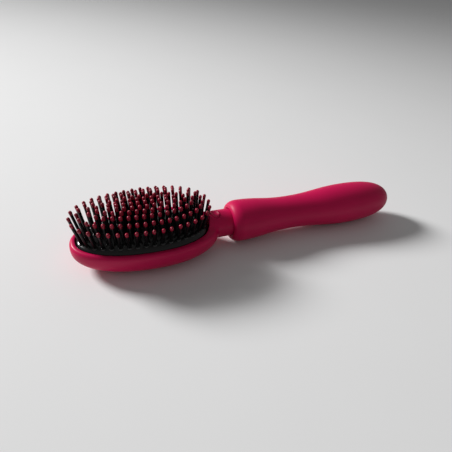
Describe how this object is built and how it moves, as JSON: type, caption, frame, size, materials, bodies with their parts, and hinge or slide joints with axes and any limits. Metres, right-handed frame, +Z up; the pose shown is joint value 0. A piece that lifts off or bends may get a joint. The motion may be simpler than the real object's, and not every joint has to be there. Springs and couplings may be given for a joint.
{
  "type": "vibrating styling brush",
  "caption": "Oval cushion hair brush with ball-tipped pins, a push button in its neck, and a soft waisted handle with a vibration motor that the head plugs into.",
  "frame": {"origin": "the middle of the whole length, on the surface that the brush lies on", "axes": "+X from the head's tip to the handle's round end, +Z up along the bristles, +Y across"},
  "size_m": [0.24, 0.0508, 0.043],
  "materials": {
    "shell_soft_touch": "soft-touch coated, satin",
    "sleeve_silicone": "matt silicone",
    "cushion_rubber": "glossy black rubber",
    "pin_nylon": "black nylon, satin",
    "black_plastic": "moulded, matt",
    "grey_plastic": "moulded, matt",
    "circuit_board": "solder mask",
    "contact_brass": "bright",
    "steel": "plated",
    "seal_rubber": "matt rubber",
    "foam": "foam",
    "cell_wrap": "shrink wrap over a metal can"
  },
  "bodies": {
    "handle": {"handle_sleeve": "sleeve_silicone", "core_upper": "grey_plastic", "core_lower": "grey_plastic", "core_screw_left": "steel", "core_screw_right": "steel", "mouth_ring": "black_plastic", "contact_board": "circuit_board", "charge_socket": "steel", "control_board": "circuit_board", "battery_pad": "foam", "battery_cell": "cell_wrap", "motor_boot": "seal_rubber", "motor_can": "steel"},
    "head": {"head_shell": "shell_soft_touch", "base_plate": "black_plastic", "cushion_edge": "cushion_rubber", "bristle_ring_1": "pin_nylon", "bristle_ring_2": "pin_nylon", "bristle_ring_3": "pin_nylon", "bristle_ring_4": "pin_nylon", "bristle_ring_5": "pin_nylon", "bristle_centre_row": "pin_nylon", "switch_board": "circuit_board", "tact_switch": "black_plastic", "neck_spigot": "black_plastic", "spigot_seal": "seal_rubber", "contact_carrier": "grey_plastic", "contact_pin_left": "contact_brass", "contact_pin_right": "contact_brass"},
    "button": {"power_button": "shell_soft_touch"},
    "rotor": {"motor_shaft": "steel", "eccentric_weight": "contact_brass"}
  },
  "joints": [
    {"name": "head_pull", "type": "slide", "parent": "handle", "child": "head", "axis": [-1, 0, 0], "range_m": [0, 0.03]},
    {"name": "button_press", "type": "slide", "parent": "head", "child": "button", "axis": [0, 0, -1], "range_m": [0, 0.0006], "stiffness_N_per_m": 1500},
    {"name": "rotor_spin", "type": "hinge", "parent": "handle", "child": "rotor", "pos_m": [0.0828, 0, 0.015], "axis": [1, 0, 0], "continuous": true}
  ]
}
